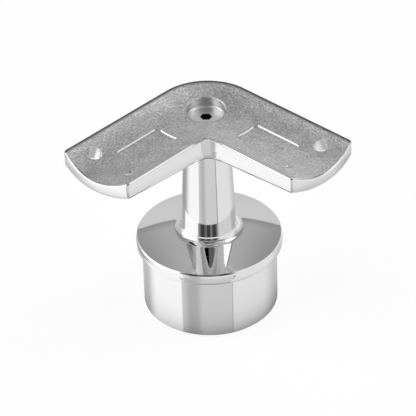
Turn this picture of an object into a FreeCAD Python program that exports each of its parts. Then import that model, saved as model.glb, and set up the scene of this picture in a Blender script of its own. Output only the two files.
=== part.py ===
"""Handrail corner post top: a cap for a round post, with a saddle for two rails that meet at a right angle.

Frame: origin on the post's axis, in the plane where the tube's end meets the collar; +Z up, +Y to the outer
corner. The saddle's two arms point to (+X, -Y) and (-X, -Y), mirrored about the YZ plane.
"""
import FreeCAD, Part
import os
import re
import Sketcher
from FreeCAD import Placement, Rotation, Vector

doc = FreeCAD.newDocument("handrail_corner_post_top")
sheet = doc.addObject("Spreadsheet::Sheet", "sizes")

SIZES = [
    # post cap
    ("collar_dia", 42.4, "collar, as wide as the post tube outside"),
    ("collar_rim", 3.5, "height of the collar's straight rim"),
    ("dome_radius", 110.0, "radius of the collar's domed top"),
    ("rim_chamfer", 0.4, "broken edges of the collar"),
    ("spigot_dia", 39.2, "spigot, for a tube of 1.5 mm wall"),
    ("spigot_length", 19.6, "reach of the spigot into the tube"),
    ("spigot_wall", 3.5, "wall round the cored inside of the spigot"),
    ("spigot_lead", 0.6, "chamfer on the spigot's lower rim"),
    ("core_roof", 3.5, "metal above the core, up to the rim's upper edge"),
    ("core_corner", 2.5, "round in the top corner of the core"),
    ("neck_root_dia", 15.9, "neck, where it meets the dome"),
    ("neck_top_dia", 13.0, "neck, at the saddle's seat"),
    ("neck_foot_round", 2.5, "fillet between the neck and the dome"),
    # saddle
    ("seat_height", 38.9, "flat seat between the neck and the saddle"),
    ("boss_height", 0.16, "flat boss under the saddle, on the seat"),
    ("rail_dia", 42.4, "outside diameter of the rail tubes"),
    ("trough_angle", 71.6, "width of each arm, as an angle about the rail's axis"),
    ("end_radius", 44.85, "round of the arms' ends about the post's axis"),
    ("bend_radius", 3.0, "bend of the trough's centre line at the corner"),
    ("root_thickness", 6.0, "thickness of the saddle at the post's axis"),
    ("tip_thickness", 3.4, "thickness of the arm at its end, on its centre line"),
    ("belly_radius", 37.0, "round of the underside across the arm"),
    ("inner_corner", 5.5, "fillet of the inner corner, in plan"),
    ("ridge_round", 3.0, "soft ridge where the two troughs meet"),
    ("edge_round", 1.0, "round on the lower edges and the ends' corners"),
    ("trough_round", 0.6, "broken upper edges of the trough"),
    ("rail_hole_dia", 4.5, "hole for the screw into the rail"),
    ("rail_hole_along", 36.4, "rail hole, along the arm from the post's axis"),
    ("rail_hole_angle", 20.3, "rail hole, angle about the rail's axis to the outside"),
    ("dimple_ball", 2.2, "radius of the ball that makes the locating dimple"),
    ("dimple_depth", 0.45, "depth of the locating dimple"),
    ("dimple_angle", 17.0, "dimple, angle about the rail's axis to the inside"),
    ("panel_start", 15.3, "marking panel, near end along the arm"),
    ("panel_length", 16.3, "marking panel, length"),
    ("panel_angle", 21.8, "marking panel, width as an angle about the rail's axis"),
    ("panel_depth", 0.35, "marking panel, depth"),
    ("panel_corner", 1.2, "marking panel, round of its corners"),
    ("panel_lip", 0.25, "marking panel, slope of its edges"),
    # screw and its hole
    ("thread_dia", 5.0, "nominal thread of the screw"),
    ("screw_length", 16.0, "screw, over all"),
    ("screw_point", 0.6, "chamfer at the screw's end"),
    ("head_dia", 9.6, "head of the screw"),
    ("head_rim", 0.3, "straight rim of the head"),
    ("head_sink", 1.65, "head's face below the trough's lowest line"),
    ("socket_flats", 3.0, "hexagon socket, across flats"),
    ("socket_depth", 2.0, "hexagon socket, depth"),
    ("counterbore_dia", 10.9, "counterbore above the head"),
    ("shank_room", 0.25, "room round the shank in the saddle, on the radius"),
    ("seat_room", 0.05, "room under the screw's cone and round its thread"),
    ("tap_spare", 2.5, "tapped hole below the screw's end"),
    # sizes that follow from the others
    ("saddle_width", "=rail_dia * sin(trough_angle / 2)", "width of each arm"),
    ("trough_bottom", "=seat_height + boss_height + root_thickness", "height of the troughs' lowest line"),
    ("arm_taper", "=atan((root_thickness - tip_thickness) / end_radius)", "slope of the arm's underside"),
]
for row, (alias, value, note) in enumerate(SIZES, start=1):
    sheet.set(f"A{row}", note)
    sheet.set(f"B{row}", str(value))
    sheet.setAlias(f"B{row}", alias)
doc.recompute()
ALIASES = {alias for alias, value, note in SIZES}

ARM_TURN = 45.0         # each arm's angle from -Y in plan, so the rails meet at a right angle
CORNER_TURN = "90"      # the corner's sector between the two arms
STOCK = 2.0             # what a cutting profile or a blank reaches past the surface it makes
DRILL_POINT = 31.0      # slope of the drill's cone at the end of the tapped hole
NEAR = 0.01             # how close to a line or circle a point counts as lying on it

# places that several pieces share
HEAD_FACE = "trough_bottom - head_sink"
RAIL_AXIS = "trough_bottom + rail_dia / 2"
BEND_AXIS = "bend_radius * sqrt(2)"


def bound(expression):
    """The expression with each size named as a cell of the sheet."""
    return re.sub(r"[a-z_]+", lambda word: f"sizes.{word[0]}" if word[0] in ALIASES else word[0], expression)


def size(expression):
    """Value of an expression in the sheet's sizes, in millimetres or degrees."""
    value = sheet.evalExpression(expression)
    return float(getattr(value, "Value", value))


def make_body(name):
    """An empty body with that label."""
    body = doc.addObject("PartDesign::Body", name)
    body.Label = name
    return body


def origin_plane(body, role):
    """One of the body's own origin planes."""
    return next(plane for plane in body.Origin.OriginFeatures if plane.Role == role)


def make_plane(body, name, turn):
    """Upright datum plane through the post's axis, turned about it from the XZ plane."""
    plane = body.newObject("PartDesign::Plane", name)
    plane.AttachmentSupport = [(origin_plane(body, "XZ_Plane"), "")]
    plane.MapMode = "FlatFace"
    plane.AttachmentOffset = Placement(Vector(), Rotation(Vector(0, 1, 0), turn))
    return plane


def make_sketch(body, name, plane, offset=(), turn=None, about=Vector(0, 0, 1)):
    """Empty sketch on a plane, moved by (axis, expression) pairs and turned, as a rule about the normal."""
    sketch = body.newObject("Sketcher::SketchObject", name)
    sketch.AttachmentSupport = [(plane, "")]
    sketch.MapMode = "FlatFace"
    for axis, expression in offset:
        sketch.setExpression(f"AttachmentOffset.Base.{axis}", bound(expression))
    if turn:
        sketch.AttachmentOffset = Placement(sketch.AttachmentOffset.Base, Rotation(about, size(turn)))
        sketch.setExpression("AttachmentOffset.Rotation.Angle", bound(turn))
    doc.recompute()
    return sketch


def hold(sketch, kind, items, expression):
    """Dimension on the sketch, driven by an expression in the sheet's sizes."""
    index = sketch.addConstraint(Sketcher.Constraint(kind, *items, size(expression)))
    name = f"{kind.lower()}_{index}"
    sketch.renameConstraint(index, name)
    sketch.setExpression(f"Constraints.{name}", bound(expression))


def add_outline(sketch, corners):
    """Closed outline through corners (x, y), each an expression.

    A third item makes the edge that starts there an arc of that radius, which passes its chord on the
    right-hand side of the way round; a fourth, "left", puts it on the left-hand side.
    """
    points = [Vector(size(corner[0]), size(corner[1]), 0) for corner in corners]
    ends = []
    for place, corner in enumerate(corners):
        start = points[place]
        end = points[(place + 1) % len(points)]
        if len(corner) == 2:
            edge = sketch.addGeometry(Part.LineSegment(start, end), False)
            ends.append((edge, 1, 2))
            continue
        radius = size(corner[2])
        to_left = len(corner) == 4
        chord = end - start
        left = Vector(-chord.y, chord.x, 0).normalize()
        side = -1 if to_left else 1
        centre = (start + end) / 2 + left * side * (radius ** 2 - (chord.Length / 2) ** 2) ** 0.5
        first, last = (end, start) if to_left else (start, end)
        angles = [Vector(1, 0, 0).getAngle(point - centre) for point in (first, last)]
        signed = [angle if (point - centre).y >= 0 else -angle for angle, point in zip(angles, (first, last))]
        circle = Part.Circle(centre, Vector(0, 0, 1), radius)
        edge = sketch.addGeometry(Part.ArcOfCircle(circle, signed[0], signed[1]), False)
        ends.append((edge, 2, 1) if to_left else (edge, 1, 2))
        hold(sketch, "Radius", (edge,), corner[2])
    for place, corner in enumerate(corners):
        edge, first, last = ends[place]
        before = ends[place - 1]
        sketch.addConstraint(Sketcher.Constraint("Coincident", before[0], before[2], edge, first))
        hold(sketch, "DistanceX", (edge, first), corner[0])
        hold(sketch, "DistanceY", (edge, first), corner[1])
    doc.recompute()


def add_circle(sketch, x, y, radius):
    """Circle with its centre and radius as expressions."""
    circle = Part.Circle(Vector(size(x), size(y), 0), Vector(0, 0, 1), size(radius))
    edge = sketch.addGeometry(circle, False)
    hold(sketch, "Radius", (edge,), radius)
    hold(sketch, "DistanceX", (edge, 3), x)
    hold(sketch, "DistanceY", (edge, 3), y)
    doc.recompute()


def turn_profile(body, kind, name, sketch, axis, angle="360", midplane=False):
    """Revolution or Groove of a sketch about one of its own axes."""
    feature = body.newObject(f"PartDesign::{kind}", name)
    feature.Profile = sketch
    feature.ReferenceAxis = (sketch, [axis])
    feature.setExpression("Angle", bound(angle))
    feature.Midplane = midplane
    doc.recompute()
    return feature


def cut_through(body, name, sketch):
    """Pocket through everything in front of the sketch."""
    feature = body.newObject("PartDesign::Pocket", name)
    feature.Profile = sketch
    feature.Type = "ThroughAll"
    feature.Reversed = True
    doc.recompute()
    return feature


def mirror(body, name, features):
    """The features again on the other arm, or the whole body where none is named."""
    feature = body.newObject("PartDesign::Mirrored", name)
    feature.TransformMode = "Features" if features else "Whole shape"
    feature.Originals = features
    feature.MirrorPlane = (origin_plane(body, "YZ_Plane"), [""])
    body.Tip = feature
    doc.recompute()
    return feature


def dress_edges(body, kind, name, reach, wanted):
    """Fillet or Chamfer on each edge of the body whose middle and shape the test accepts."""
    base = body.Tip
    names = []
    for number, edge in enumerate(base.Shape.Edges, start=1):
        middle = edge.valueAt((edge.FirstParameter + edge.LastParameter) / 2)
        if wanted(middle, edge):
            names.append(f"Edge{number}")
    feature = body.newObject(f"PartDesign::{kind}", name)
    feature.Base = (base, names)
    feature.setExpression("Radius" if kind == "Fillet" else "Size", bound(reach))
    doc.recompute()
    return feature


def make_post_cap():
    """Neck, domed collar and spigot, cast in one piece and cored from below."""
    body = make_body("post_cap")
    dome_centre = "collar_rim - sqrt(dome_radius^2 - collar_dia^2 / 4)"
    dome_at_neck = f"{dome_centre} + sqrt(dome_radius^2 - neck_root_dia^2 / 4)"
    tap_radius = "thread_dia / 2 + seat_room"
    tap_end = f"{HEAD_FACE} - screw_length - tap_spare"
    core_radius = "spigot_dia / 2 - spigot_wall"
    section = make_sketch(body, "cap_section", origin_plane(body, "XZ_Plane"))
    add_outline(section, [
        ("spigot_dia / 2", "-spigot_length"),
        ("spigot_dia / 2", "0"),
        ("collar_dia / 2", "0"),
        ("collar_dia / 2", "collar_rim", "dome_radius"),
        ("neck_root_dia / 2", dome_at_neck),
        ("neck_top_dia / 2", "seat_height"),
        (tap_radius, "seat_height"),
        (tap_radius, tap_end),
        ("0", f"{tap_end} - ({tap_radius}) * tan({DRILL_POINT})"),
        ("0", "collar_rim - core_roof"),
        (core_radius, "collar_rim - core_roof"),
        (core_radius, "-spigot_length"),
    ])
    turn_profile(body, "Revolution", "cap_turned", section, "V_Axis")

    def at(radius, height):
        """Test for the circle of that radius and height."""
        def test(middle, edge):
            near = abs(Vector(middle.x, middle.y, 0).Length - size(radius)) < NEAR
            return near and abs(middle.z - size(height)) < NEAR
        return test

    dress_edges(body, "Fillet", "neck_foot", "neck_foot_round", at("neck_root_dia / 2", dome_at_neck))
    dress_edges(body, "Fillet", "core_top", "core_corner", at(core_radius, "collar_rim - core_roof"))
    dress_edges(body, "Chamfer", "collar_upper_edge", "rim_chamfer", at("collar_dia / 2", "collar_rim"))
    dress_edges(body, "Chamfer", "collar_lower_edge", "rim_chamfer", at("collar_dia / 2", "0"))
    dress_edges(body, "Chamfer", "spigot_edge", "spigot_lead", at("spigot_dia / 2", "-spigot_length"))
    return body


def make_saddle():
    """The cast plate: two arms and a bend, hollowed by the rails, with its holes, panels and dimples."""
    body = make_body("saddle")
    across = make_plane(body, "arm_across", ARM_TURN)
    along = make_plane(body, "arm_along", ARM_TURN - 90)
    half = "saddle_width / 2"
    end_reach = "sqrt(end_radius^2 - saddle_width^2 / 4)"
    corner_radius = f"({half} + bend_radius)"
    notch_axis = f"-({half} + inner_corner) * sqrt(2)"
    outline = make_sketch(body, "half_outline", origin_plane(body, "XY_Plane"),
                          [("z", "trough_bottom - 2 * root_thickness")])
    add_outline(outline, [
        ("0", f"{notch_axis} + inner_corner", "inner_corner", "left"),
        ("inner_corner / sqrt(2)", f"{notch_axis} + inner_corner / sqrt(2)"),
        (f"({end_reach} - {half}) / sqrt(2)", f"-({end_reach} + {half}) / sqrt(2)", "end_radius"),
        (f"({end_reach} + {half}) / sqrt(2)", f"-({end_reach} - {half}) / sqrt(2)"),
        (f"{corner_radius} / sqrt(2)", f"{corner_radius} / sqrt(2) - {BEND_AXIS}", corner_radius),
        ("0", f"{corner_radius} - {BEND_AXIS}"),
    ])
    blank = body.newObject("PartDesign::Pad", "half_plate")
    blank.Profile = outline
    blank.setExpression("Length", bound("2 * root_thickness + rail_dia / 4"))
    doc.recompute()

    below = make_sketch(body, "belly_section", across, [("y", "trough_bottom")],
                        "-arm_taper", Vector(1, 0, 0))
    beside = f"({half} + bend_radius + {STOCK})"
    belly_edge = f"belly_radius - sqrt(belly_radius^2 - {beside}^2) - root_thickness"
    add_outline(below, [
        (f"-{beside}", belly_edge, "belly_radius"),
        (beside, belly_edge),
        (beside, "-3 * root_thickness"),
        (f"-{beside}", "-3 * root_thickness"),
    ])
    belly = cut_through(body, "belly", below)
    belly.SideType = "Symmetric"
    doc.recompute()
    mirror(body, "other_arm", [])

    boss = make_sketch(body, "boss_outline", origin_plane(body, "XY_Plane"), [("z", "seat_height")])
    add_circle(boss, "0", "0", "neck_top_dia / 2")
    pad = body.newObject("PartDesign::Pad", "seat_boss")
    pad.Profile = boss
    pad.setExpression("Length", bound("trough_bottom - seat_height"))
    doc.recompute()

    rail = make_sketch(body, "rail_outline", across, [("z", "bend_radius")])
    add_circle(rail, "0", RAIL_AXIS, "rail_dia / 2")
    trough = cut_through(body, "trough", rail)
    mirror(body, "other_trough", [trough])
    bend = make_sketch(body, "bend_section", origin_plane(body, "YZ_Plane"), [("x", f"-{BEND_AXIS}")])
    add_outline(bend, [
        ("0", f"{RAIL_AXIS} - sqrt(rail_dia^2 / 4 - bend_radius^2)", "rail_dia / 2"),
        ("bend_radius + rail_dia / 2", RAIL_AXIS),
        ("0", RAIL_AXIS),
    ])
    turn_profile(body, "Groove", "bend", bend, "V_Axis", CORNER_TURN, True)

    hole = make_sketch(body, "screw_hole_section", origin_plane(body, "XZ_Plane"))
    shank_hole = "thread_dia / 2 + shank_room"
    cone_at_axis = f"{HEAD_FACE} - head_rim - head_dia / 2 - seat_room"
    add_outline(hole, [
        ("0", f"seat_height - {STOCK}"),
        (shank_hole, f"seat_height - {STOCK}"),
        (shank_hole, f"{cone_at_axis} + {shank_hole}"),
        ("counterbore_dia / 2", f"{cone_at_axis} + counterbore_dia / 2"),
        ("counterbore_dia / 2", f"trough_bottom + {STOCK}"),
        ("0", f"trough_bottom + {STOCK}"),
    ])
    turn_profile(body, "Groove", "screw_hole", hole, "V_Axis")

    panel = make_sketch(body, "panel_section", along, [("y", RAIL_AXIS)])
    add_outline(panel, [
        ("panel_start", "-rail_dia / 2 - panel_depth"),
        ("panel_start + panel_length", "-rail_dia / 2 - panel_depth"),
        ("panel_start + panel_length", f"-rail_dia / 2 + {STOCK}"),
        ("panel_start", f"-rail_dia / 2 + {STOCK}"),
    ])
    marking = turn_profile(body, "Groove", "panel", panel, "H_Axis", "panel_angle", True)

    rail_hole_place = [("z", "rail_hole_along"), ("y", RAIL_AXIS)]
    drill = make_sketch(body, "rail_hole_section", across, rail_hole_place, "rail_hole_angle")
    add_outline(drill, [
        ("0", "-rail_dia / 2 - saddle_width / 2"),
        ("rail_hole_dia / 2", "-rail_dia / 2 - saddle_width / 2"),
        ("rail_hole_dia / 2", f"-rail_dia / 2 + {STOCK}"),
        ("0", f"-rail_dia / 2 + {STOCK}"),
    ])
    rail_hole = turn_profile(body, "Groove", "rail_hole", drill, "V_Axis")

    ball = make_sketch(body, "dimple_section", across, rail_hole_place, "-dimple_angle")
    ball_bottom = "-rail_dia / 2 - dimple_depth"
    add_outline(ball, [
        ("0", ball_bottom, "dimple_ball"),
        ("dimple_ball", f"{ball_bottom} + dimple_ball"),
        ("0", f"{ball_bottom} + dimple_ball"),
    ])
    dimple = turn_profile(body, "Groove", "dimple", ball, "V_Axis")
    mirror(body, "other_marks", [marking, rail_hole, dimple])

    def at_panel_end(middle, below):
        """Whether a point lies at an end of a marking panel, that far below the trough's surface."""
        run = (abs(middle.x) - middle.y) / 2 ** 0.5
        depth = Vector((abs(middle.x) + middle.y) / 2 ** 0.5, size(RAIL_AXIS) - middle.z, 0).Length
        off_end = abs(run - size("panel_start + panel_length / 2")) - size("panel_length / 2")
        return abs(off_end) < NEAR and abs(depth - size(f"rail_dia / 2 + {below}")) < NEAR

    dress_edges(body, "Fillet", "panel_corners", "panel_corner",
                lambda middle, edge: at_panel_end(middle, "panel_depth / 2"))
    dress_edges(body, "Chamfer", "panel_lips", "panel_lip",
                lambda middle, edge: at_panel_end(middle, "0"))

    belly_rise = "belly_radius - sqrt(belly_radius^2 - saddle_width^2 / 4)"
    edge_level = size(f"trough_bottom - (tip_thickness - ({belly_rise})) / 2")
    trough_level = size("trough_bottom")
    seat_level = size("seat_height")
    half_width = size(half)
    bend_centre = Vector(0, -size(BEND_AXIS), 0)
    inner_centre = Vector(0, -(half_width + size("inner_corner")) * 2 ** 0.5, 0)

    def on_outline(point):
        """Whether a point lies on the plate's outline in plan."""
        flat = Vector(abs(point.x), point.y, 0)
        on_side = abs(abs(flat.x + flat.y) / 2 ** 0.5 - half_width)
        on_end = abs(flat.Length - size("end_radius"))
        on_corner = abs(flat.distanceToPoint(bend_centre) - half_width - size("bend_radius"))
        on_inner = abs(flat.distanceToPoint(inner_centre) - size("inner_corner"))
        return min(on_side, on_end, on_corner, on_inner) < NEAR

    def upright(edge):
        """Whether an edge runs along Z."""
        return edge.Length - edge.BoundBox.ZLength < NEAR

    def at_end(point):
        """Whether a point lies on the round end of an arm."""
        return abs(Vector(point.x, point.y, 0).Length - size("end_radius")) < NEAR

    def on_mirror(point):
        """Whether a point lies in the plane between the two arms."""
        return abs(point.x) < NEAR

    dress_edges(body, "Fillet", "ridge", "ridge_round",
                lambda middle, edge: on_mirror(middle) and middle.y < 0 and middle.z > trough_level)
    dress_edges(body, "Fillet", "belly_creases", "ridge_round",
                lambda middle, edge: on_mirror(middle) and edge_level > middle.z > seat_level + NEAR)
    dress_edges(body, "Fillet", "end_corners", "edge_round",
                lambda middle, edge: upright(edge) and at_end(middle))
    dress_edges(body, "Fillet", "lower_edges", "edge_round",
                lambda middle, edge: on_outline(middle) and middle.z < edge_level and not upright(edge))
    dress_edges(body, "Fillet", "upper_edges", "trough_round",
                lambda middle, edge: on_outline(middle) and middle.z > edge_level and not upright(edge))
    return body


def make_screw():
    """Countersunk screw with a hexagon socket; its thread is a plain shank of the nominal size."""
    body = make_body("saddle_screw")
    under_head = f"{HEAD_FACE} - head_rim - (head_dia - thread_dia) / 2"
    end = f"{HEAD_FACE} - screw_length"
    section = make_sketch(body, "screw_section", origin_plane(body, "XZ_Plane"))
    add_outline(section, [
        ("0", HEAD_FACE),
        ("0", end),
        ("thread_dia / 2 - screw_point", end),
        ("thread_dia / 2", f"{end} + screw_point"),
        ("thread_dia / 2", under_head),
        ("head_dia / 2", f"{HEAD_FACE} - head_rim"),
        ("head_dia / 2", HEAD_FACE),
    ])
    turn_profile(body, "Revolution", "screw_turned", section, "V_Axis")
    socket = make_sketch(body, "socket_outline", origin_plane(body, "XY_Plane"), [("z", HEAD_FACE)])
    add_outline(socket, [
        ("socket_flats / sqrt(3)", "0"),
        ("socket_flats / sqrt(12)", "socket_flats / 2"),
        ("-socket_flats / sqrt(12)", "socket_flats / 2"),
        ("-socket_flats / sqrt(3)", "0"),
        ("-socket_flats / sqrt(12)", "-socket_flats / 2"),
        ("socket_flats / sqrt(12)", "-socket_flats / 2"),
    ])
    pocket = body.newObject("PartDesign::Pocket", "socket")
    pocket.Profile = socket
    pocket.setExpression("Length", bound("socket_depth"))
    doc.recompute()
    return body


bodies = [make_post_cap(), make_saddle(), make_screw()]
doc.recompute()
for item in doc.Objects:
    if {"Invalid", "Error"} & set(item.State):
        raise RuntimeError(f"{item.Name} failed: {item.State}")
for body in bodies:
    if body.Shape.isNull() or not body.Shape.isValid() or len(body.Shape.Solids) != 1:
        raise RuntimeError(f"{body.Label} is not one valid solid")

os.makedirs("parts", exist_ok=True)
for body in bodies:
    body.Shape.exportStep(f"parts/{body.Label}.step")
    box = body.Shape.optimalBoundingBox()
    extent = f"{box.XLength:.2f} x {box.YLength:.2f} x {box.ZLength:.2f} mm"
    print(f"{body.Label}: {body.Shape.Volume:.1f} mm3, {extent}")
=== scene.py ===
"""Handrail corner post top: a polished post cap, a cast saddle for two rails, and their screw."""
import math

import bmesh
import bpy
import numpy as np
from mathutils import Matrix, Vector


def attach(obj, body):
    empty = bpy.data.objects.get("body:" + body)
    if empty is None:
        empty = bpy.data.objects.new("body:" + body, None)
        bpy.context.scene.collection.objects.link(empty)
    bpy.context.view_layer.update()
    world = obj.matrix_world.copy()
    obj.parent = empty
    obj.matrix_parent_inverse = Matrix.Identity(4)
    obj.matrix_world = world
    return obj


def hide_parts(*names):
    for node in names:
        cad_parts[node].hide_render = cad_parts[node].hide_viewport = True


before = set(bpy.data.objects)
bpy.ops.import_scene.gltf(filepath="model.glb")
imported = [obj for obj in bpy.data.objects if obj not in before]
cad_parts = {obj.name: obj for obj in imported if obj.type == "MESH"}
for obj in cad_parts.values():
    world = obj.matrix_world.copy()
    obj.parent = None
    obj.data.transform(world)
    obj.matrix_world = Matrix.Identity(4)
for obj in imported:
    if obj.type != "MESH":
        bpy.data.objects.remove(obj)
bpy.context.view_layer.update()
bpy.context.scene.view_settings.view_transform = "Standard"

# Post cap: the plug that closes the post tube, with a domed collar and a tapered neck on top of its spigot.
# Investment cast in stainless steel, turned on the spigot, then buffed to a mirror all over.
# It drops into the tube, and the saddle's screw goes into the tapped hole in the neck.
MM = 0.001              # sizes are in millimetres, meshes in metres
COLLAR_R = 21.2
COLLAR_RIM = 3.5
DOME_R = 110.0
RIM_CHAMFER = 0.4
RIM_CROWN_R = 9.0       # the buffed rim is a little crowned
SPIGOT_R = 19.6
SPIGOT_LENGTH = 19.6
SPIGOT_LEAD = 0.6
CORE_R = 16.1
CORE_CORNER = 2.5
NECK_ROOT_R = 7.95
NECK_TOP_R = 6.5
NECK_FOOT = 2.5
SEAT = 38.9
TAP_R = 2.55
TAP_END = 24.91
DRILL_POINT = math.radians(31.0)
ROUND_STEPS = 288
RUN_STEP = 0.9
ARC_STEP = math.radians(1.5)
WELD = 1e-7             # metres, points nearer to each other than this are one
CREASE = math.radians(20.0)     # edges that turn by more than this stay sharp


def run(start, end):
    """Straight run of the section: points spaced evenly from start to end, about RUN_STEP apart."""
    steps = max(1, round(math.dist(start, end) / RUN_STEP))
    share = np.linspace(0.0, 1.0, steps + 1)[:, None]
    return (1 - share) * np.array(start) + share * np.array(end)


def arc(centre, radius, first, last, step=ARC_STEP):
    """Round of the section: centre plus radius times (cosine, sine) of an angle from first to last."""
    angle = np.linspace(first, last, max(2, math.ceil(abs(last - first) / step) + 1))
    return np.array(centre) + radius * np.stack([np.cos(angle), np.sin(angle)], 1)


def turned(name, section):
    """Surface of revolution: a section of (radius, height) carried round Z in ROUND_STEPS steps.

    x = radius * cos(angle), y = radius * sin(angle), z = height; the last column joins the first, and the
    points that fall together on the axis are merged.
    """
    angle = np.linspace(0.0, 2 * np.pi, ROUND_STEPS, endpoint=False)
    radius, height = section[:, :1], section[:, 1:]
    level = np.broadcast_to(height, (len(section), ROUND_STEPS))
    grid = np.stack([radius * np.cos(angle), radius * np.sin(angle), level], -1)
    corner = np.arange(level.size).reshape(level.shape)
    beside = np.roll(corner, -1, 1)
    faces = np.stack([corner[:-1], beside[:-1], beside[1:], corner[1:]], -1).reshape(-1, 4)
    mesh = bpy.data.meshes.new(name)
    mesh.from_pydata(grid.reshape(-1, 3) * MM, [], faces)
    shell = bmesh.new()
    shell.from_mesh(mesh)
    bmesh.ops.remove_doubles(shell, verts=shell.verts, dist=WELD)
    bmesh.ops.recalc_face_normals(shell, faces=shell.faces)
    shell.to_mesh(mesh)
    shell.free()
    mesh.shade_smooth()
    mesh.set_sharp_from_angle(angle=CREASE)
    piece = bpy.data.objects.new(name, mesh)
    bpy.context.scene.collection.objects.link(piece)
    return piece


dome_centre = COLLAR_RIM - math.sqrt(DOME_R ** 2 - COLLAR_R ** 2)
neck_root = dome_centre + math.sqrt(DOME_R ** 2 - NECK_ROOT_R ** 2)
neck_slope = math.atan2(NECK_ROOT_R - NECK_TOP_R, SEAT - neck_root)
# the foot's fillet touches the neck's line and the dome: its centre lies NECK_FOOT outside both, which is
# a quadratic in its height above the dome's centre
slant = math.tan(neck_slope)
offset_r = NECK_ROOT_R + NECK_FOOT / math.cos(neck_slope) - (dome_centre - neck_root) * slant
quad_a = 1 + slant ** 2
quad_b = -2 * slant * offset_r
quad_c = offset_r ** 2 - (DOME_R + NECK_FOOT) ** 2
foot_rise = (-quad_b + math.sqrt(quad_b ** 2 - 4 * quad_a * quad_c)) / (2 * quad_a)
foot_centre = (offset_r - slant * foot_rise, dome_centre + foot_rise)
foot_on_neck = math.pi + neck_slope
dome_start = math.atan2(foot_rise, foot_centre[0])
dome_end = math.acos((COLLAR_R - RIM_CHAMFER) / DOME_R)
neck_foot = arc(foot_centre, NECK_FOOT, foot_on_neck, math.pi + dome_start)
dome = arc((0, dome_centre), DOME_R, dome_start, dome_end, RUN_STEP / DOME_R)
rim_lean = math.asin((COLLAR_RIM / 2 - RIM_CHAMFER) / RIM_CROWN_R)
rim = arc((COLLAR_R - RIM_CROWN_R, COLLAR_RIM / 2), RIM_CROWN_R, rim_lean, -rim_lean)
core_top = arc((CORE_R - CORE_CORNER, -CORE_CORNER), CORE_CORNER, 0.0, math.pi / 2)
cap_section = np.concatenate([
    run((0, TAP_END - TAP_R * math.tan(DRILL_POINT)), (TAP_R, TAP_END)),
    run((TAP_R, TAP_END), (TAP_R, SEAT)),
    run((TAP_R, SEAT), (NECK_TOP_R, SEAT)),
    run((NECK_TOP_R, SEAT), neck_foot[0]),
    neck_foot,
    dome,
    run(dome[-1], rim[0]),
    rim,
    run(rim[-1], (COLLAR_R - RIM_CHAMFER, 0)),
    run((COLLAR_R - RIM_CHAMFER, 0), (SPIGOT_R, 0)),
    run((SPIGOT_R, 0), (SPIGOT_R, SPIGOT_LEAD - SPIGOT_LENGTH)),
    run((SPIGOT_R, SPIGOT_LEAD - SPIGOT_LENGTH), (SPIGOT_R - SPIGOT_LEAD, -SPIGOT_LENGTH)),
    run((SPIGOT_R - SPIGOT_LEAD, -SPIGOT_LENGTH), (CORE_R, -SPIGOT_LENGTH)),
    run((CORE_R, -SPIGOT_LENGTH), core_top[0]),
    core_top,
    run(core_top[-1], (0, 0)),
])
cap = turned("post_cap_polished", cap_section)


def linear(code):
    """sRGB hex code as linear colour with alpha: share / 12.92 in the darks, a shifted power of 2.4 above."""
    share = np.array([int(code[place:place + 2], 16) for place in (1, 3, 5)]) / 255
    low, high = share / 12.92, ((share + 0.055) / 1.055) ** 2.4
    return (*np.where(share <= 0.04045, low, high).tolist(), 1.0)


def put(tree, kind, sockets=None, **settings):
    """Adds a node with its settings; each socket takes a value, or a link where the value is an output."""
    node = tree.nodes.new(kind)
    for name, value in settings.items():
        setattr(node, name, value)
    for socket, value in (sockets or {}).items():
        if isinstance(value, bpy.types.NodeSocket):
            tree.links.new(value, node.inputs[socket])
        else:
            node.inputs[socket].default_value = value
    return node


def bare(name):
    """New material with an empty tree: gives the material, the tree and the place on the piece."""
    material = bpy.data.materials.new(name)
    material.use_nodes = True
    tree = material.node_tree
    tree.nodes.clear()
    return material, tree, put(tree, "ShaderNodeTexCoord").outputs["Object"]


# Mirror-polished stainless steel: a clear, faintly soft mirror, a little uneven where the wheel dwelt on it.
STEEL_TONE = "#e6e6e6"
POLISH_HAZE = (0.02, 0.05)      # roughness
BUFF_CELL = 6.0         # mm, the slow unevenness that a buffing wheel leaves
BUFF_DEPTH = 0.003      # mm
polished, tree, place = bare("mirror_polished_stainless_steel")
waves = put(tree, "ShaderNodeTexNoise", {"Vector": place, "Scale": 1 / (BUFF_CELL * MM), "Detail": 1.0})
haze = put(tree, "ShaderNodeMapRange", {
    "Value": waves.outputs[0], "To Min": POLISH_HAZE[0], "To Max": POLISH_HAZE[1]})
bump = put(tree, "ShaderNodeBump", {"Height": waves.outputs[0], "Distance": BUFF_DEPTH * MM, "Strength": 1.0})
shader = put(tree, "ShaderNodeBsdfPrincipled", {
    "Base Color": linear(STEEL_TONE), "Metallic": 1.0, "Roughness": haze.outputs[0],
    "Normal": bump.outputs[0]})
put(tree, "ShaderNodeOutputMaterial", {"Surface": shader.outputs[0]})
cap.data.materials.append(polished)
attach(cap, "root")
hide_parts("post_cap")

# Saddle: the L-shaped plate whose two troughs carry the handrail tubes at a right angle.
# Investment cast in stainless steel; the troughs stay as blasted, the sides, ends and underside are polished.
# It sits on the neck's flat top and is held by the countersunk screw.
RAIL_R = 21.2
TROUGH_BOTTOM = 45.06
BEND_R = 3.0
HALF_WIDTH = 12.4
INNER_CORNER = 3.9
COUNTERBORE_R = 5.45
SEAT_FACE = 39.0
HOLE_R = 2.25
HOLE_ALONG = 36.4
HOLE_LEAN = math.radians(20.3)
DIMPLE_R = 2.2
DIMPLE_DEPTH = 0.45
DIMPLE_LEAN = math.radians(-17.0)
MARK_DEPTH = 0.35
RIDGE_REACH = 6.0       # the soft ridge at the inner corner, to each side of the middle
RIM_WIDTH = 1.0
RIM_RISE = 2.5          # the troughs' outer rim lies at least this far above their lowest line
bend_inset = BEND_R * math.sqrt(2)      # from the post's axis to the bend's centre, towards the inner corner
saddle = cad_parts["saddle"]

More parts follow.
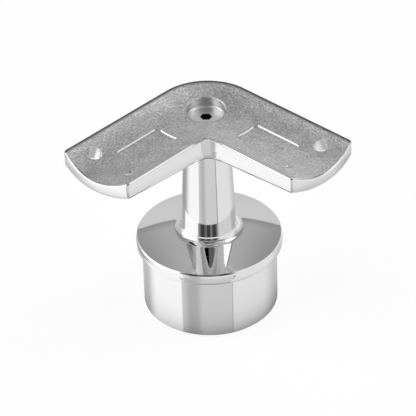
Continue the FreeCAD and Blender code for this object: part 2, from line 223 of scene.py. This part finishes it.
# Buffed cast steel: a soft mirror, wavy from the casting, that turns under along its crowned sides.
BUFFED_HAZE = (0.05, 0.1)       # roughness
SIDE_LOW = 41.2         # mm, lower edge of the sides at the post's axis
SIDE_RISE = 0.058       # how steeply that edge rises along the arm
CROWN_REACH = 3.2       # mm, height of the side that is crowned, in relief only
CROWN_R = 10.5          # mm
WAVE_CELL = 7.0         # mm, slow waves of the casting
WAVE_DEPTH = 0.08       # mm
buffed, tree, place = bare("buffed_cast_stainless_steel")
waves = put(tree, "ShaderNodeTexNoise", {"Vector": place, "Scale": 1 / (WAVE_CELL * MM), "Detail": 1.0})
haze = put(tree, "ShaderNodeMapRange", {
    "Value": waves.outputs[0], "To Min": BUFFED_HAZE[0], "To Max": BUFFED_HAZE[1]})
# the crown falls by the depth below its upper line, squared, over twice its radius
spot = put(tree, "ShaderNodeSeparateXYZ", {0: place})
wide = put(tree, "ShaderNodeMath", {0: spot.outputs[0]}, operation="ABSOLUTE")
outward = put(tree, "ShaderNodeMath", {0: wide.outputs[0], 1: spot.outputs[1]}, operation="SUBTRACT")
crown_line = put(tree, "ShaderNodeMath", {
    0: outward.outputs[0], 1: SIDE_RISE / math.sqrt(2), 2: (SIDE_LOW + CROWN_REACH) * MM},
    operation="MULTIPLY_ADD")
down = put(tree, "ShaderNodeMath", {0: crown_line.outputs[0], 1: spot.outputs[2]}, operation="SUBTRACT")
under = put(tree, "ShaderNodeMath", {0: down.outputs[0], 1: 0.0}, operation="MAXIMUM")
square = put(tree, "ShaderNodeMath", {0: under.outputs[0], 1: under.outputs[0]}, operation="MULTIPLY")
crown = put(tree, "ShaderNodeMath", {0: square.outputs[0], 1: -0.5 / (CROWN_R * MM)}, operation="MULTIPLY")
form = put(tree, "ShaderNodeMath", {
    0: waves.outputs[0], 1: WAVE_DEPTH * MM, 2: crown.outputs[0]}, operation="MULTIPLY_ADD")
bump = put(tree, "ShaderNodeBump", {"Height": form.outputs[0], "Distance": 1.0, "Strength": 1.0})
shader = put(tree, "ShaderNodeBsdfPrincipled", {
    "Base Color": linear(STEEL_TONE), "Metallic": 1.0, "Roughness": haze.outputs[0],
    "Normal": bump.outputs[0]})
put(tree, "ShaderNodeOutputMaterial", {"Surface": shader.outputs[0]})

# Blasted cast steel: matt grey with a fine, uneven grain that glints in the light, darker along its edges,
# and with painted light that makes it a little lighter towards the right arm.
CAST_TONE = "#fafafa"
CAST_SHADE = "#c0c0c0"
CAST_MATT = (0.32, 0.48)        # roughness
GRAIN = 0.55            # mm, shot and mould grain, drawn coarse so that it shows
GRAIN_DEPTH = 0.2       # mm, deeper for the same reason
CLOUD = 5.0             # mm, patches where the blasting was heavier
CLOUD_SHARE = 0.4       # how much they count beside the grain
PAINTED_LIGHT_LEAN = 0.003      # per mm, painted light: the blasted face is painted a little lighter towards the right arm
BLAST_RANGE = (0.53, 0.93)      # grain, patches and the painted light added up, where the shade ends and where the tone is full
EDGE_TONE = "#5a5a5a"   # the darker tone along the troughs' edges
OUTER_DARK_BAND = (10.9, 11.7)       # mm across from the rail's centre line, where it begins and where it is full
INNER_DARK_BAND = (10.6, 12.2)
CORNER_CLEAR = (3.0, 9.0)       # mm from the middle plane, where the inner edge's darker band begins and is full
EDGE_BREAK = 0.45       # mm, reach of the counterbore's broken edge from its wall, in relief only
EDGE_FALL = 0.35        # mm, how far it falls to the wall
cast, tree, place = bare("blasted_cast_stainless_steel")
grain = put(tree, "ShaderNodeTexNoise", {"Vector": place, "Scale": 1 / (GRAIN * MM), "Detail": 2.0})
cloud = put(tree, "ShaderNodeTexNoise", {"Vector": place, "Scale": 1 / (CLOUD * MM), "Detail": 3.0})
speck = put(tree, "ShaderNodeMath", {
    0: cloud.outputs[0], 1: CLOUD_SHARE, 2: grain.outputs[0]}, operation="MULTIPLY_ADD")
spot = put(tree, "ShaderNodeSeparateXYZ", {0: place})
# painted light: the tone is lifted along x, so the blasted face is lighter towards the right arm
grain_and_painted_light = put(tree, "ShaderNodeMath", {
    0: spot.outputs[0], 1: PAINTED_LIGHT_LEAN / MM, 2: speck.outputs[0]}, operation="MULTIPLY_ADD")
tone_share = put(tree, "ShaderNodeMapRange", {
    "Value": grain_and_painted_light.outputs[0], "From Min": BLAST_RANGE[0], "From Max": BLAST_RANGE[1]})
mottle_and_painted_light = put(tree, "ShaderNodeMix", {
    0: tone_share.outputs[0], 6: linear(CAST_SHADE), 7: linear(CAST_TONE)}, data_type="RGBA")
matt = put(tree, "ShaderNodeMapRange", {
    "Value": grain.outputs[0], "To Min": CAST_MATT[0], "To Max": CAST_MATT[1]})
# the place across the trough, from the rail's centre line to the outside, on the arms and round the bend
wide = put(tree, "ShaderNodeMath", {0: spot.outputs[0]}, operation="ABSOLUTE")
sum_xy = put(tree, "ShaderNodeMath", {0: wide.outputs[0], 1: spot.outputs[1]}, operation="ADD")
gap_xy = put(tree, "ShaderNodeMath", {0: wide.outputs[0], 1: spot.outputs[1]}, operation="SUBTRACT")
on_arm = put(tree, "ShaderNodeMath", {0: sum_xy.outputs[0], 1: math.sqrt(0.5)}, operation="MULTIPLY")
bend_arm = put(tree, "ShaderNodeVectorMath", {
    0: place, 1: (1, 1, 0), 2: (0, bend_inset * MM, 0)}, operation="MULTIPLY_ADD")
bend_reach = put(tree, "ShaderNodeVectorMath", {0: bend_arm.outputs[0]}, operation="LENGTH")
on_bend = put(tree, "ShaderNodeMath", {0: bend_reach.outputs["Value"], 1: BEND_R * MM}, operation="SUBTRACT")
bent = put(tree, "ShaderNodeMath", {0: gap_xy.outputs[0], 1: bend_inset * MM}, operation="LESS_THAN")
aside = put(tree, "ShaderNodeMix", {0: bent.outputs[0], 2: on_arm.outputs[0], 3: on_bend.outputs[0]})
# darker along both edges, the inner one fading out before the corner
outer = put(tree, "ShaderNodeMapRange", {
    "Value": aside.outputs[0], "From Min": OUTER_DARK_BAND[0] * MM, "From Max": OUTER_DARK_BAND[1] * MM})
inner = put(tree, "ShaderNodeMapRange", {
    "Value": aside.outputs[0], "From Min": -INNER_DARK_BAND[0] * MM, "From Max": -INNER_DARK_BAND[1] * MM})
off_corner = put(tree, "ShaderNodeMapRange", {
    "Value": wide.outputs[0], "From Min": CORNER_CLEAR[0] * MM, "From Max": CORNER_CLEAR[1] * MM})
faded = put(tree, "ShaderNodeMath", {0: inner.outputs[0], 1: off_corner.outputs[0]}, operation="MULTIPLY")
darker_edge = put(tree, "ShaderNodeMath", {0: outer.outputs[0], 1: faded.outputs[0]}, operation="MAXIMUM")
tone = put(tree, "ShaderNodeMix", {
    0: darker_edge.outputs[0], 6: mottle_and_painted_light.outputs[2], 7: linear(EDGE_TONE)}, data_type="RGBA")
# grain in relief, with the counterbore's broken edge
flat = put(tree, "ShaderNodeVectorMath", {0: place, 1: (1, 1, 0)}, operation="MULTIPLY")
reach = put(tree, "ShaderNodeVectorMath", {0: flat.outputs[0]}, operation="LENGTH")
broken = put(tree, "ShaderNodeMapRange", {
    "Value": reach.outputs["Value"], "From Min": (COUNTERBORE_R - EDGE_BREAK) * MM,
    "From Max": (COUNTERBORE_R + EDGE_BREAK) * MM, "To Min": -2 * EDGE_FALL * MM, "To Max": 0.0})
form = put(tree, "ShaderNodeMath", {
    0: grain.outputs[0], 1: GRAIN_DEPTH * MM, 2: broken.outputs[0]}, operation="MULTIPLY_ADD")
bump = put(tree, "ShaderNodeBump", {"Height": form.outputs[0], "Distance": 1.0, "Strength": 1.0})
shader = put(tree, "ShaderNodeBsdfPrincipled", {
    "Base Color": tone.outputs[2], "Metallic": 1.0, "Roughness": matt.outputs[0],
    "Normal": bump.outputs[0]})
put(tree, "ShaderNodeOutputMaterial", {"Surface": shader.outputs[0]})

# Drilled and countersunk steel: bare bright metal, a little blurred by the tool's marks.
BORED_TONE = "#e8e8e8"
BORED_BLUR = (0.22, 0.05)       # roughness in the counterbore and, further out, in the rail holes
TOOL_MARK = 0.4         # mm
TOOL_BLUR = 0.16        # roughness that the marks add
TURNING_PITCH = 0.55    # mm, the tool's feed, drawn coarse so that it shows
TURNING_DEPTH = 0.02    # mm
TURNING_WOBBLE = 0.3
WAVE_GAIN = 20          # the wave node multiplies its scale by this
bored, tree, place = bare("drilled_stainless_steel")
marks = put(tree, "ShaderNodeTexNoise", {"Vector": place, "Scale": 1 / (TOOL_MARK * MM), "Detail": 2.0})
flat = put(tree, "ShaderNodeVectorMath", {0: place, 1: (1, 1, 0)}, operation="MULTIPLY")
reach = put(tree, "ShaderNodeVectorMath", {0: flat.outputs[0]}, operation="LENGTH")
blur = put(tree, "ShaderNodeMapRange", {
    "Value": reach.outputs["Value"], "From Min": COUNTERBORE_R * MM, "From Max": 2 * COUNTERBORE_R * MM,
    "To Min": BORED_BLUR[0], "To Max": BORED_BLUR[1]})
rough = put(tree, "ShaderNodeMath", {
    0: marks.outputs[0], 1: TOOL_BLUR, 2: blur.outputs[0]}, operation="MULTIPLY_ADD")
rings = put(tree, "ShaderNodeTexWave", {
    "Vector": place, "Scale": 2 * math.pi / (WAVE_GAIN * TURNING_PITCH * MM), "Distortion": TURNING_WOBBLE},
    bands_direction="Z")
bump = put(tree, "ShaderNodeBump", {
    "Height": rings.outputs["Fac"], "Distance": TURNING_DEPTH * MM, "Strength": 1.0})
shader = put(tree, "ShaderNodeBsdfPrincipled", {
    "Base Color": linear(BORED_TONE), "Metallic": 1.0, "Roughness": rough.outputs[0],
    "Normal": bump.outputs[0]})
put(tree, "ShaderNodeOutputMaterial", {"Surface": shader.outputs[0]})

# Dark rim: the narrow outer rim of the troughs, given a dull, dark finish.
DARK_RIM_TONE = "#707070"
DARK_RIM_ROUGH = (0.4, 0.6)
DARK_RIM_CELL = 0.8         # mm
dark_rim, tree, place = bare("dark_rim_stainless_steel")
pits = put(tree, "ShaderNodeTexNoise", {"Vector": place, "Scale": 1 / (DARK_RIM_CELL * MM), "Detail": 2.0})
rough = put(tree, "ShaderNodeMapRange", {
    "Value": pits.outputs[0], "To Min": DARK_RIM_ROUGH[0], "To Max": DARK_RIM_ROUGH[1]})
shader = put(tree, "ShaderNodeBsdfPrincipled", {
    "Base Color": linear(DARK_RIM_TONE), "Metallic": 1.0, "Roughness": rough.outputs[0]})
put(tree, "ShaderNodeOutputMaterial", {"Surface": shader.outputs[0]})


def per_face(mesh, what):
    """Centre or normal of each face of a mesh, as three rows x, y and z."""
    values = np.empty(3 * len(mesh.polygons))
    mesh.polygons.foreach_get(what, values)
    return values.reshape(-1, 3).T


# Each face takes its finish from where it lies and which way it looks.
CLOSE = 0.05            # mm, how near to a surface a face's middle counts as lying on it
LEVEL = math.cos(math.radians(8.0))     # least share of the normal towards the rail's axis in a trough
MARK_FACING = -0.1      # the same on the marking panels' lips
RIDGE_UP = 0.3          # least upward share of the normal on the ridge within the inner corner
RIDGE_SIDE_UP = 0.9     # the same beside it
RIM_UP = 0.4            # the same on the troughs' outer rim
x, y, z = per_face(saddle.data, "center") / MM
nx, ny, nz = per_face(saddle.data, "normal")
# across is measured from the rail's centre line to the outside, on the arms and round the bend alike
in_bend = y + bend_inset > np.abs(x)
from_bend = np.hypot(x, y + bend_inset)
across = np.where(in_bend, from_bend - BEND_R, (np.abs(x) + y) / math.sqrt(2))
out_x = np.where(in_bend, x / from_bend, np.sign(x) / math.sqrt(2))
out_y = np.where(in_bend, (y + bend_inset) / from_bend, math.sqrt(0.5))
along = (np.abs(x) - y) / math.sqrt(2)
below = TROUGH_BOTTOM + RAIL_R - z
depth = np.hypot(across, below)
facing = (below * nz - across * (nx * out_x + ny * out_y)) / depth
off_hole = np.hypot(across * math.cos(HOLE_LEAN) - below * math.sin(HOLE_LEAN), along - HOLE_ALONG)
ball_depth = RAIL_R + DIMPLE_DEPTH - DIMPLE_R
ball_across = across - ball_depth * math.sin(DIMPLE_LEAN)
ball_below = below - ball_depth * math.cos(DIMPLE_LEAN)
off_ball = np.hypot(np.hypot(ball_across, ball_below), along - HOLE_ALONG)
in_counterbore = (np.hypot(x, y) < COUNTERBORE_R + CLOSE) & (z > SEAT_FACE)
in_hole = np.abs(off_hole - HOLE_R) < CLOSE
in_dimple = (np.abs(off_ball - DIMPLE_R) < CLOSE) & (depth > RAIL_R - CLOSE)
on_lip = (depth > RAIL_R - CLOSE) & (depth < RAIL_R + MARK_DEPTH + CLOSE)
on_lip &= (facing > MARK_FACING) & (facing < LEVEL)
on_lip &= (np.abs(across) < HALF_WIDTH / 2) & (along > COUNTERBORE_R + BEND_R)
in_trough = (np.abs(depth - RAIL_R) < MARK_DEPTH + CLOSE) & (facing > LEVEL)
on_ridge = (y < 0) & (z > TROUGH_BOTTOM) & (np.abs(x) < RIDGE_REACH)
on_ridge &= nz > np.where(np.abs(x) < INNER_CORNER, RIDGE_UP, RIDGE_SIDE_UP)
on_rim = (across > HALF_WIDTH - RIM_WIDTH) & (z > TROUGH_BOTTOM + RIM_RISE) & (nz > RIM_UP)
finishes = [buffed, cast, bored, polished, dark_rim]
finish = np.full(len(x), finishes.index(buffed), np.int32)
finish[on_rim] = finishes.index(dark_rim)
finish[in_trough | on_ridge] = finishes.index(cast)
finish[on_lip] = finishes.index(polished)
finish[in_counterbore | in_hole | in_dimple] = finishes.index(bored)
saddle.data.materials.clear()
for metal in finishes:
    saddle.data.materials.append(metal)
saddle.data.polygons.foreach_set("material_index", finish)
saddle.data.update()

# Saddle screw: a countersunk screw with a hexagon socket, cold headed in stainless steel and tumbled bright.
# It sinks into the saddle's counterbore and holds the saddle on the neck.
HEAD_FACE = 43.41
SOCKET_REACH = 1.9
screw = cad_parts["saddle_screw"]

# Tumbled steel: bright but blurred, with fine dents. Inside the hexagon socket the steel is painted dark, as
# painted shade in the recess.
HEAD_TONE = "#eaeaea"
HEAD_ROUGH = (0.24, 0.36)
SOCKET_SHADE_TONE = "#666666"
SOCKET_ROUGH = (0.3, 0.45)
DENT = 0.5              # mm
screw.data.materials.clear()
for name, code, (smooth, dented) in (
        ("tumbled_stainless_steel", HEAD_TONE, HEAD_ROUGH),
        ("socket_shade_stainless_steel", SOCKET_SHADE_TONE, SOCKET_ROUGH)):
    metal, tree, place = bare(name)
    dents = put(tree, "ShaderNodeTexNoise", {"Vector": place, "Scale": 1 / (DENT * MM), "Detail": 2.0})
    rough = put(tree, "ShaderNodeMapRange", {"Value": dents.outputs[0], "To Min": smooth, "To Max": dented})
    shader = put(tree, "ShaderNodeBsdfPrincipled", {
        "Base Color": linear(code), "Metallic": 1.0, "Roughness": rough.outputs[0]})
    put(tree, "ShaderNodeOutputMaterial", {"Surface": shader.outputs[0]})
    screw.data.materials.append(metal)
x, y, z = per_face(screw.data, "center") / MM
# painted shade: the faces inside the socket take the dark material
in_socket = (np.hypot(x, y) < SOCKET_REACH) & (z < HEAD_FACE - CLOSE) & (z > HEAD_FACE - 2 * SOCKET_REACH)
screw.data.polygons.foreach_set("material_index", in_socket.astype(np.int32))
screw.data.update()

# Floor: plain pale sheet under the spigot, white to the camera, with the object's soft shadow.
# The polished steel looks past it to the studio's cards, dimmed by a painted shade close round the spigot
# that stands for its shadow on the sheet.
FLOOR_HALF = 4.0        # metres
FLOOR_GAP = 0.02        # mm, keeps the sheet off the rim
SHEET_TONE = "#8f8f8f"
SHEET_GLOW = 0.83       # lifts the sheet to white
SHADE_REACH = 4.6       # mm
SHADE_DEPTH = 0.44
SHADE_MIDDLE = (1.2, -1.6)      # mm, the painted shade lies to the front
floor_level = -(SPIGOT_LENGTH + FLOOR_GAP) * MM
floor_mesh = bpy.data.meshes.new("floor")
side = np.array([[-1, -1], [1, -1], [1, 1], [-1, 1]]) * FLOOR_HALF
floor_mesh.from_pydata(np.column_stack([side, np.full(4, floor_level)]), [], [(0, 1, 2, 3)])
floor = bpy.data.objects.new("floor", floor_mesh)
bpy.context.scene.collection.objects.link(floor)
paper, tree, place = bare("white_paper")
ray = put(tree, "ShaderNodeLightPath")
seen_past = put(tree, "ShaderNodeMath", {
    0: ray.outputs["Is Glossy Ray"], 1: ray.outputs["Is Shadow Ray"]}, operation="MAXIMUM")
glow = put(tree, "ShaderNodeEmission", {"Strength": SHEET_GLOW})
sheet = put(tree, "ShaderNodeBsdfDiffuse", {"Color": linear(SHEET_TONE)})
lit = put(tree, "ShaderNodeAddShader", {0: glow.outputs[0], 1: sheet.outputs[0]})
# the painted shade fades with the power of e to minus the distance from the spigot's wall over SHADE_REACH
shade_middle = (*(part * MM for part in SHADE_MIDDLE), floor_level)
off_middle = put(tree, "ShaderNodeVectorMath", {0: place, 1: shade_middle}, operation="SUBTRACT")
reach = put(tree, "ShaderNodeVectorMath", {0: off_middle.outputs[0]}, operation="LENGTH")
within = put(tree, "ShaderNodeMath", {0: SPIGOT_R * MM, 1: reach.outputs["Value"]}, operation="SUBTRACT")
power = put(tree, "ShaderNodeMath", {0: within.outputs[0], 1: SHADE_REACH * MM}, operation="DIVIDE")
fading = put(tree, "ShaderNodeMath", {0: power.outputs[0]}, operation="EXPONENT")
painted_shade = put(tree, "ShaderNodeMath", {0: fading.outputs[0], 1: -SHADE_DEPTH, 2: 1.0}, operation="MULTIPLY_ADD")
clear = put(tree, "ShaderNodeBsdfTransparent", {"Color": painted_shade.outputs[0]})
mixed = put(tree, "ShaderNodeMixShader", {0: seen_past.outputs[0], 1: lit.outputs[0], 2: clear.outputs[0]})
put(tree, "ShaderNodeOutputMaterial", {"Surface": mixed.outputs[0]})
floor_mesh.materials.append(paper)

# Studio: soft boxes and grey cards all round, given by the tone that each has in the polished steel.
# Bearing goes from the camera's side (-Y) to the right, elevation up from the floor's plane, in degrees.
# Each edge is given with its softness, and a later card lies in front of an earlier one.
ROOM_TONE = "#9e9e9e"
CARDS = [
    # name, left edge, right edge, lower edge, upper edge, tone, power
    ("table", (-200, 10), (200, 10), (-95, 4), (-46, 10), "#d2d2d2", 1.0),
    ("table, right", (40, 10), (130, 20), (-95, 4), (-52, 26), "#b0b0b0", 1.0),
    ("shadow under the part", (-200, 10), (200, 10), (-95, 4), (-78, 8), "#8c8c8c", 1.0),
    ("room behind, left", (-200, 20), (-112, 10), (-46, 4), (30, 4), "#b8b8b8", 1.0),
    ("room behind, right", (100, 20), (200, 20), (-42, 4), (30, 4), "#bebebe", 1.0),
    ("back floor", (150, 20), (210, 20), (-25, 4), (-3, 3), "#b0b0b0", 1.0),
    ("back wall, foot", (150, 20), (210, 20), (-3, 3), (16, 6), "#c4c4c4", 1.0),
    ("back wall, right of the foot", (120, 20), (178, 10), (-25, 4), (14, 6), "#e2e2e2", 1.0),
    ("back wall", (158, 16), (202, 16), (18, 12), (30.6, 0.4), "#c8c8c8", 1.0),
    ("back wall, top", (118, 20), (242, 20), (30.6, 0.4), (56, 16), "#8a8a8a", 1.0),
    ("back wall, top middle", (165, 16), (195, 16), (32.5, 5), (66, 16), "#a8a8a8", 1.0),
    ("left soft box, in the table", (-124, 34), (-51, 4), (-58, 30), (2, 4), "#f6f6f6", 1.0),
    ("left soft box", (-118, 14), (-47, 6), (0, 4), (41, 6), "#ffffff", 1.2),
    ("right soft box, in the table", (33, 3), (122, 50), (-52, 30), (3, 4), "#dedede", 1.0),
    ("right soft box", (36, 16), (105, 16), (0, 4), (44, 6), "#e0e0e0", 1.0),
    ("upper left, grey", (-124, 8), (-70, 6), (45, 4), (66, 6), "#b4b4b4", 1.0),
    ("upper left, dark", (-124, 8), (-96, 4), (45, 4), (51.5, 12), "#6a6a6a", 1.0),
    ("upper left, high", (-160, 14), (-98, 10), (58, 4), (82, 8), "#383838", 1.0),
    ("upper right soft box", (71, 4), (132, 12), (45, 4), (64, 6), "#ffffff", 1.2),
    ("overhead, front", (-70, 10), (44, 10), (63, 6), (84, 8), "#b8b8b8", 1.0),
    ("front table", (-51, 3), (35, 2), (-89, 2), (-2, 3), "#c7c7c7", 1.0),
    ("front table, far part", (-51, 3), (35, 2), (-26, 14), (-2, 3), "#e6e6e6", 1.0),
    ("front table, near part", (-51, 3), (35, 2), (-89, 2), (-50, 14), "#a6a6a6", 1.0),
    ("front table, left part", (-43, 14), (-20, 16), (-89, 2), (-35.5, 2), "#acacac", 1.0),
    ("front table, far strip", (-34, 16), (-15, 12), (-35.5, 2), (-20, 6), "#b2b2b2", 1.0),
    ("left soft box, far in the table", (-54, 2), (-43, 4), (-35.5, 2), (-20, 6), "#f6f6f6", 1.0),
    ("room behind, far in the table", (-200, 20), (-107, 42), (-35.5, 2), (-20, 6), "#9c9c9c", 1.0),
    ("table edge", (35.2, 1), (37.4, 1), (-42, 2), (-33.5, 2), "#b4b4b4", 1.0),
    ("table edge, far part", (34.4, 1), (38.2, 1), (-33.5, 2), (-28, 3), "#949494", 1.0),
    ("dark front", (-38, 14), (30, 16), (1, 3), (28, 6), "#404040", 1.0),
    ("dark front, left window", (-20, 5), (-10, 5), (1, 3), (28, 6), "#6f6f6f", 1.0),
    ("dark front, right window", (3, 5), (12.5, 5), (1, 3), (28, 6), "#7c7c7c", 1.0),
    ("dark front, upper left", (-42, 8), (-6, 20), (28, 6), (37, 4), "#707070", 1.0),
    ("dark front, middle", (-8, 24), (62, 36), (28, 6), (46, 4), "#848484", 1.0),
    ("dark front, upper", (-9, 4), (24, 12), (45, 4), (66, 8), "#626262", 1.0),
    ("black flag", (-29, 3), (-6, 4), (46, 3), (64, 4), "#040404", 1.0),
]
studio = bpy.data.worlds.new("studio")
bpy.context.scene.world = studio
studio.use_nodes = True
tree = studio.node_tree
tree.nodes.clear()
towards = put(tree, "ShaderNodeSeparateXYZ", {0: put(tree, "ShaderNodeTexCoord").outputs["Generated"]})
front = put(tree, "ShaderNodeMath", {0: towards.outputs[1], 1: -1.0}, operation="MULTIPLY")
bearing = put(tree, "ShaderNodeMath", {0: towards.outputs[0], 1: front.outputs[0]}, operation="ARCTAN2")
height = put(tree, "ShaderNodeMath", {0: towards.outputs[2]}, operation="ARCSINE")
room_tone = linear(ROOM_TONE)
for name, left, right, low, high, code, power in CARDS:
    middle = (left[0] + right[0]) / 2
    turn = put(tree, "ShaderNodeMath", {0: bearing.outputs[0], 1: math.radians(middle)}, operation="SUBTRACT")
    swing = put(tree, "ShaderNodeMath", {0: turn.outputs[0], 1: math.pi, 2: -math.pi}, operation="WRAP")
    inside = None
    for angle, (edge, soft), way in (
            (swing, (left[0] - middle, left[1]), 1), (swing, (right[0] - middle, right[1]), -1),
            (height, low, 1), (height, high, -1)):
        span = put(tree, "ShaderNodeMapRange", {
            "Value": angle.outputs[0], "From Min": math.radians(edge - way * soft / 2),
            "From Max": math.radians(edge + way * soft / 2)}, interpolation_type="SMOOTHSTEP")
        if inside is not None:
            span = put(tree, "ShaderNodeMath", {
                0: inside.outputs[0], 1: span.outputs[0]}, operation="MULTIPLY")
        inside = span
    glare = (*(power * share for share in linear(code)[:3]), 1.0)
    card = put(tree, "ShaderNodeMix", {
        0: inside.outputs[0], 6: room_tone, 7: glare}, data_type="RGBA", label=name)
    room_tone = card.outputs[2]
# the steel takes its share of what it reflects, so the room is that much brighter than the tones it shows
room = put(tree, "ShaderNodeBackground", {"Color": room_tone, "Strength": 1 / linear(STEEL_TONE)[0]})
white = put(tree, "ShaderNodeBackground", {"Color": (1, 1, 1, 1), "Strength": 1.0})
ray = put(tree, "ShaderNodeLightPath")
seen = put(tree, "ShaderNodeMixShader", {
    0: ray.outputs["Is Camera Ray"], 1: room.outputs[0], 2: white.outputs[0]})
put(tree, "ShaderNodeOutputWorld", {"Surface": seen.outputs[0]})

# Camera: a long lens above the saddle, square to the inner corner and slightly rolled.
# Its place was solved from the object's outline.
BEARING = math.radians(-0.753)
ELEVATION = math.radians(35.676)
ROLL = math.radians(-1.6)
DISTANCE = 0.699155     # metres
AIM_RIGHT = -0.17       # mm, from the post's axis
AIM_HEIGHT = 11.95      # mm, above the collar's underside
FOCAL_PIXELS = 2432.21
IMAGE_PIXELS = 416
SENSOR = 36.0           # mm
level_reach = math.cos(ELEVATION)
back = Vector((math.sin(BEARING) * level_reach, -math.cos(BEARING) * level_reach, math.sin(ELEVATION)))
sideways = Vector((math.cos(BEARING), math.sin(BEARING), 0))
up = back.cross(sideways)
rolled_right = sideways * math.cos(ROLL) + up * math.sin(ROLL)
rolled_up = up * math.cos(ROLL) - sideways * math.sin(ROLL)
aim = sideways * AIM_RIGHT * MM + Vector((0, 0, AIM_HEIGHT * MM))
camera = bpy.data.objects.new("camera", bpy.data.cameras.new("camera"))
camera.data.sensor_width = SENSOR
camera.data.lens = SENSOR * FOCAL_PIXELS / IMAGE_PIXELS
axes = Matrix((rolled_right, rolled_up, back)).transposed().to_4x4()
camera.matrix_world = Matrix.Translation(aim + back * DISTANCE) @ axes
bpy.context.scene.collection.objects.link(camera)
bpy.context.scene.camera = camera
